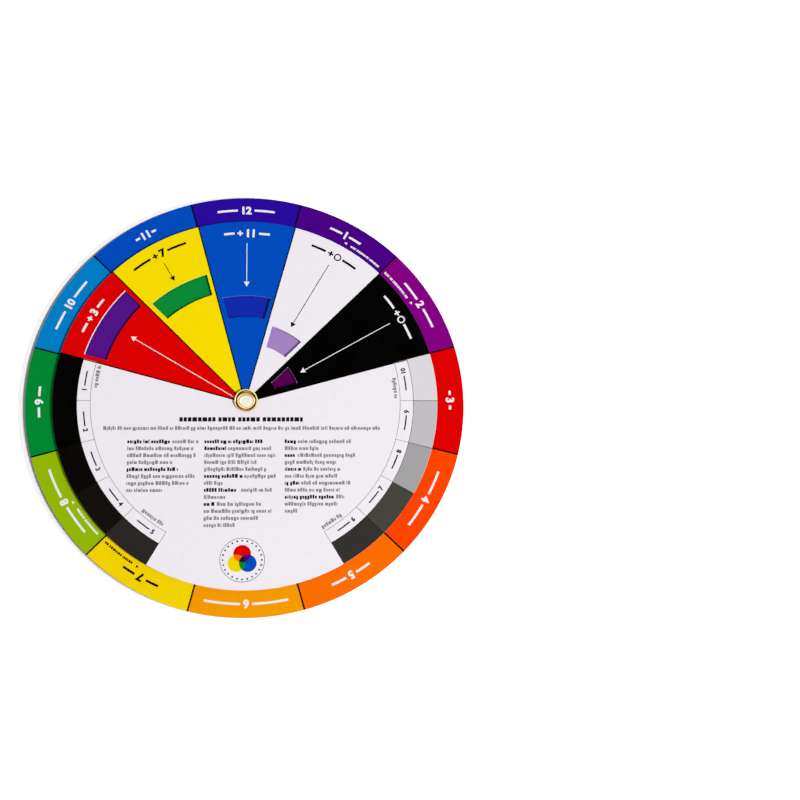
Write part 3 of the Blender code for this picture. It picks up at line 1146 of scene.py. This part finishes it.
# The camera, measured from the middle card's upper face
CAMERA_PLACE = (0.01417, -0.27317, 0.93707)
CAMERA_AIM = (0.08294, 0.0002, 0.0)
PICTURE_UP = (0.00419, 0.95998, 0.28004)
CAMERA_LENS = 81.41
SENSOR_WIDTH = 36.0


def make_floor():
    """A grey floor that shows shadows, and glows so that the camera and mirroring faces see it white."""
    mesh = bpy.data.meshes.new("floor")
    half = FLOOR_SIZE / 2
    corners = [(-half, -half), (half, -half), (half, half), (-half, half)]
    mesh.from_pydata([(x, y, -FLOOR_DROP) for x, y in corners], [], [(0, 1, 2, 3)])
    material, nodes = new_material("floor")
    rays = nodes.add("ShaderNodeLightPath").outputs
    seen = nodes.maths("MAXIMUM", rays["Is Camera Ray"], rays["Is Glossy Ray"])
    seen = nodes.maths("MAXIMUM", seen, rays["Is Transmission Ray"])
    glow = nodes.maths("MULTIPLY", seen, FLOOR_GLOW)
    matte = nodes.add("ShaderNodeBsdfDiffuse", {"Color": (FLOOR_WHITE, FLOOR_WHITE, FLOOR_WHITE, 1.0)})
    light = nodes.add("ShaderNodeEmission", {"Strength": glow})
    both = nodes.add("ShaderNodeAddShader", {0: matte.outputs[0], 1: light.outputs[0]})
    nodes.add("ShaderNodeOutputMaterial", {"Surface": both.outputs[0]})
    mesh.materials.append(material)
    floor = add_object("floor", mesh)


def make_sky():
    """Light from low all round, and little from overhead, so that the black ink stays black. What shines
    mirrors a sky of its own: white low down, dark above that, and brassy near the camera's direction."""
    world = bpy.data.worlds.new("sky")
    bpy.context.scene.world = world
    world.use_nodes = True
    nodes = Nodes(world.node_tree)
    way = nodes.add("ShaderNodeTexCoord").outputs["Generated"]
    up = nodes.add("ShaderNodeSeparateXYZ", {"Vector": way}).outputs["Z"]
    lean = nodes.add("ShaderNodeVectorMath", {0: way, 1: SHINE_LEAN}, operation="DOT_PRODUCT")
    colour = nodes.ramp(lean.outputs["Value"], SHINE_CODES, SHINE_HEIGHTS)
    light = nodes.add("ShaderNodeBackground", {"Color": nodes.ramp(up, SKY_CODES, SKY_HEIGHTS)})
    shine = nodes.add("ShaderNodeBackground", {"Color": colour, "Strength": SHINE_STRENGTH})
    glossy = nodes.add("ShaderNodeLightPath").outputs["Is Glossy Ray"]
    sky = nodes.add("ShaderNodeMixShader", {0: glossy, 1: light.outputs[0], 2: shine.outputs[0]})
    nodes.add("ShaderNodeOutputWorld", {"Surface": sky.outputs[0]})


def make_lamp(azimuth, elevation, power, size, mirrored):
    lamp = bpy.data.lights.new("lamp", "AREA")
    lamp.energy = power
    lamp.shape = "DISK"
    lamp.size = size
    holder = add_object("lamp", lamp)
    turn, rise = radians(azimuth), radians(elevation)
    way = Vector((cos(rise) * cos(turn), cos(rise) * sin(turn), sin(rise)))
    holder.location = way * LAMP_DISTANCE
    holder.rotation_euler = way.to_track_quat("Z", "Y").to_euler()
    holder.visible_glossy = mirrored


def make_camera():
    place = Vector(CAMERA_PLACE)
    backward = (place - Vector(CAMERA_AIM)).normalized()
    right = Vector(PICTURE_UP).cross(backward).normalized()
    up = backward.cross(right)
    camera = bpy.data.cameras.new("camera")
    camera.lens = CAMERA_LENS
    camera.sensor_width = SENSOR_WIDTH
    holder = add_object("camera", camera)
    holder.matrix_world = Matrix((right, up, backward)).transposed().to_4x4()
    holder.location = place + Vector((0.0, 0.0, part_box("colour_disc")[1][2]))
    bpy.context.scene.camera = holder


make_floor()
make_sky()
for lamp in LAMPS:
    make_lamp(*lamp)
make_camera()
bpy.context.scene.view_settings.view_transform = "Standard"
